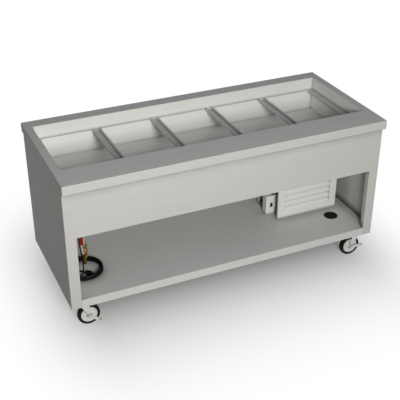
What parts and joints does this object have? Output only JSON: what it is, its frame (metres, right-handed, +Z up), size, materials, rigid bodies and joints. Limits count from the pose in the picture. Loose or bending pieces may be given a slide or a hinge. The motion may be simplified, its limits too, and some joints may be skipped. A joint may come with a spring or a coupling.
{
  "type": "mobile cold-food counter",
  "caption": "Stainless steel mobile cold-food counter with a sunk well, lift-out pan dividers, open undershelf, louvred cooling unit, drain valve, coiled cord and swivel casters",
  "frame": {"origin": "On the floor plane, under the middle of the counter top's footprint", "axes": "+Z up, +X along the counter's length to the right of someone facing its front, -Y towards its front"},
  "size_m": [1.88, 0.812, 0.914],
  "materials": {
    "stainless_sheet": "fine satin stainless steel, no grain lines that show",
    "stainless_liner": "satin stainless steel of the sunk well",
    "stainless_bar": "satin stainless steel of the lift-out bars",
    "stainless_shelf": "satin stainless steel of the undershelf",
    "stainless_panel": "satin stainless steel of the louvred panel and post",
    "box_steel": "dull steel of the control box",
    "galvanised_sheet": "dull galvanised steel",
    "foam": "rigid foam, pale yellow",
    "black_rubber": "black moulded rubber",
    "black_plastic": "black moulded plastic",
    "black_enamel": "black enamelled steel",
    "fin_aluminium": "plain aluminium sheet",
    "copper_tube": "drawn copper tube",
    "stainless_tube": "satin stainless tube",
    "brass_casting": "plain brass, slightly dull",
    "chromed_steel": "chromed steel ball and stem",
    "zinc_steel": "bright zinc-plated steel",
    "red_vinyl": "dipped red vinyl",
    "cord_rubber": "smooth black cord sheath",
    "tread_rubber": "black moulded rubber tread with a grey hub"
  },
  "bodies": {
    "frame": {"counter_top": "stainless_sheet", "well_liner": "stainless_liner", "well_insulation": "foam", "well_casing": "galvanised_sheet", "end_rail_left": "stainless_bar", "end_rail_right": "stainless_bar", "front_apron": "stainless_sheet", "side_panel_left": "stainless_sheet", "side_panel_right": "stainless_sheet", "back_panel": "stainless_sheet", "undershelf": "stainless_shelf", "caster_pads": "galvanised_sheet", "shelf_grommet": "black_rubber", "louvre_panel": "stainless_panel", "control_box": "box_steel", "support_post": "stainless_panel", "wiring_conduit": "black_plastic", "unit_base": "galvanised_sheet", "compressor": "black_enamel", "condenser_coil": "fin_aluminium", "fan_shroud": "galvanised_sheet", "fan_motor": "black_enamel", "refrigerant_tubing": "copper_tube", "drain_pipe": "stainless_tube", "valve_body": "brass_casting", "drain_tail": "brass_casting", "cord_gland": "black_plastic", "cord_drop": "cord_rubber", "cord_coil": "cord_rubber", "cord_tail": "cord_rubber", "cord_plug": "cord_rubber", "caster_plate_fl": "zinc_steel", "caster_plate_fr": "zinc_steel", "caster_plate_bl": "zinc_steel", "caster_plate_br": "zinc_steel", "caster_bolts": "zinc_steel"},
    "bar_1": {"divider_bar_1": "stainless_bar"},
    "bar_2": {"divider_bar_2": "stainless_bar"},
    "bar_3": {"divider_bar_3": "stainless_bar"},
    "bar_4": {"divider_bar_4": "stainless_bar"},
    "rocker": {"rocker_switch": "black_plastic"},
    "valve_handle": {"valve_stem": "chromed_steel", "valve_lever": "zinc_steel", "lever_grip": "red_vinyl"},
    "fan": {"fan_blade": "fin_aluminium"},
    "swivel_fl": {"caster_fork_fl": "zinc_steel", "caster_axle_fl": "zinc_steel"},
    "wheel_fl": {"caster_wheel_fl": "tread_rubber"},
    "swivel_fr": {"caster_fork_fr": "zinc_steel", "caster_axle_fr": "zinc_steel"},
    "wheel_fr": {"caster_wheel_fr": "tread_rubber"},
    "swivel_bl": {"caster_fork_bl": "zinc_steel", "caster_axle_bl": "zinc_steel"},
    "wheel_bl": {"caster_wheel_bl": "tread_rubber"},
    "swivel_br": {"caster_fork_br": "zinc_steel", "caster_axle_br": "zinc_steel"},
    "wheel_br": {"caster_wheel_br": "tread_rubber"},
    "brake_fl": {"brake_lever_fl": "zinc_steel"},
    "brake_fr": {"brake_lever_fr": "zinc_steel"}
  },
  "joints": [
    {"name": "bar_1_lift", "type": "slide", "parent": "frame", "child": "bar_1", "axis": [0, 0, 1], "range_m": [0, 0.12]},
    {"name": "bar_2_lift", "type": "slide", "parent": "frame", "child": "bar_2", "axis": [0, 0, 1], "range_m": [0, 0.12]},
    {"name": "bar_3_lift", "type": "slide", "parent": "frame", "child": "bar_3", "axis": [0, 0, 1], "range_m": [0, 0.12]},
    {"name": "bar_4_lift", "type": "slide", "parent": "frame", "child": "bar_4", "axis": [0, 0, 1], "range_m": [0, 0.12]},
    {"name": "rocker_tilt", "type": "hinge", "parent": "frame", "child": "rocker", "pos_m": [0.4568, 0.009, 0.265], "axis": [1, 0, 0], "range_deg": [0, 14]},
    {"name": "valve_turn", "type": "hinge", "parent": "frame", "child": "valve_handle", "pos_m": [-0.80378, -0.17862, 0.364], "axis": [0.6428, 0.766, 0], "range_deg": [0, 90]},
    {"name": "fan_spin", "type": "hinge", "parent": "frame", "child": "fan", "pos_m": [0.6888, 0.014, 0.353], "axis": [0, 1, 0], "continuous": true},
    {"name": "swivel_fl", "type": "hinge", "parent": "frame", "child": "swivel_fl", "pos_m": [-0.8605, -0.316, 0.14], "axis": [0, 0, 1], "continuous": true},
    {"name": "wheel_fl_roll", "type": "hinge", "parent": "swivel_fl", "child": "wheel_fl", "pos_m": [-0.8335, -0.316, 0.0635], "axis": [0, 1, 0], "continuous": true},
    {"name": "swivel_fr", "type": "hinge", "parent": "frame", "child": "swivel_fr", "pos_m": [0.8605, -0.316, 0.14], "axis": [0, 0, 1], "continuous": true},
    {"name": "wheel_fr_roll", "type": "hinge", "parent": "swivel_fr", "child": "wheel_fr", "pos_m": [0.8335, -0.316, 0.0635], "axis": [0, 1, 0], "continuous": true},
    {"name": "swivel_bl", "type": "hinge", "parent": "frame", "child": "swivel_bl", "pos_m": [-0.8605, 0.316, 0.14], "axis": [0, 0, 1], "continuous": true},
    {"name": "wheel_bl_roll", "type": "hinge", "parent": "swivel_bl", "child": "wheel_bl", "pos_m": [-0.8335, 0.316, 0.0635], "axis": [0, 1, 0], "continuous": true},
    {"name": "swivel_br", "type": "hinge", "parent": "frame", "child": "swivel_br", "pos_m": [0.8605, 0.316, 0.14], "axis": [0, 0, 1], "continuous": true},
    {"name": "wheel_br_roll", "type": "hinge", "parent": "swivel_br", "child": "wheel_br", "pos_m": [0.8335, 0.316, 0.0635], "axis": [0, 1, 0], "continuous": true},
    {"name": "brake_fl_press", "type": "hinge", "parent": "swivel_fl", "child": "brake_fl", "pos_m": [-0.8335, -0.346, 0.0635], "axis": [0, 1, 0], "range_deg": [-36, 0]},
    {"name": "brake_fr_press", "type": "hinge", "parent": "swivel_fr", "child": "brake_fr", "pos_m": [0.8335, -0.346, 0.0635], "axis": [0, 1, 0], "range_deg": [0, 36]}
  ]
}
